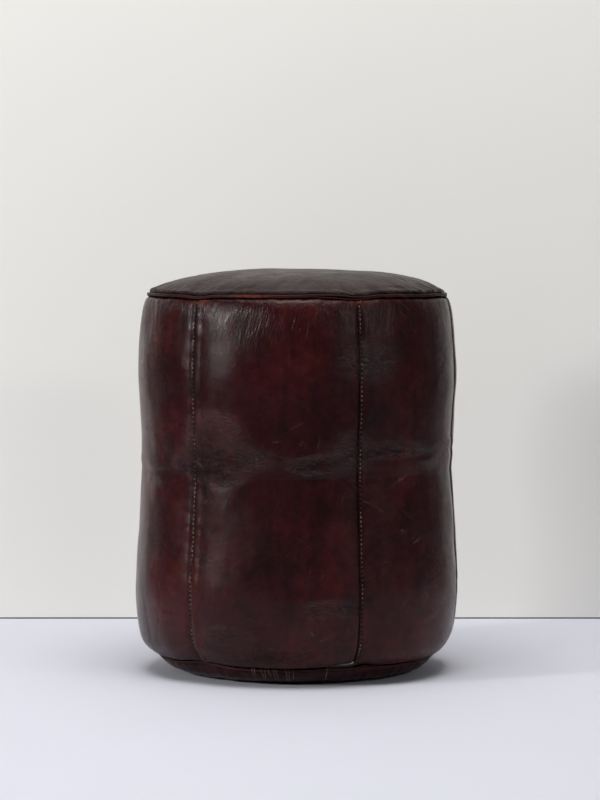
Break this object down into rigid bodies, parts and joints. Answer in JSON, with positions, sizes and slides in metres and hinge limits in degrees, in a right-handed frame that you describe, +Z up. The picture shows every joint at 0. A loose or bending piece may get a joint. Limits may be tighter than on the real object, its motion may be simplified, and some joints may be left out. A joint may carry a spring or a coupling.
{
  "type": "leather pouf",
  "caption": "Tall drum-shaped stuffed leather pouf with a domed round top, lap-seamed side panels and a folded leather lip sewn into the top and bottom rims.",
  "frame": {"origin": "middle of the flat base, on the floor", "axes": "+Z up through the middle of the drum; -Y is the front, where the hand-sewn closing stitches are; +X is to the right seen from the front"},
  "size_m": [0.4018, 0.4, 0.5],
  "materials": {
    "crown_leather": "satin",
    "side_leather": "satin",
    "welt_leather": "satin",
    "base_leather": "satin",
    "seam_thread": "matte",
    "closing_thread": "matte",
    "calico": "matte",
    "wadding": "matte"
  },
  "bodies": {
    "root": {"top_panel": "crown_leather", "top_welt": "welt_leather", "side_panel_1": "side_leather", "side_panel_2": "side_leather", "side_panel_3": "side_leather", "side_panel_4": "side_leather", "side_panel_5": "side_leather", "side_panel_6": "side_leather", "bottom_welt": "welt_leather", "bottom_panel": "base_leather", "side_seam_thread_1": "seam_thread", "side_seam_thread_2": "seam_thread", "side_seam_thread_3": "seam_thread", "side_seam_thread_4": "seam_thread", "side_seam_thread_5": "seam_thread", "side_seam_thread_6": "seam_thread", "top_rim_thread": "seam_thread", "bottom_rim_thread": "seam_thread", "closing_thread": "closing_thread", "liner_top": "calico", "liner_side": "calico", "liner_base": "calico", "filling": "wadding"}
  },
  "joints": []
}
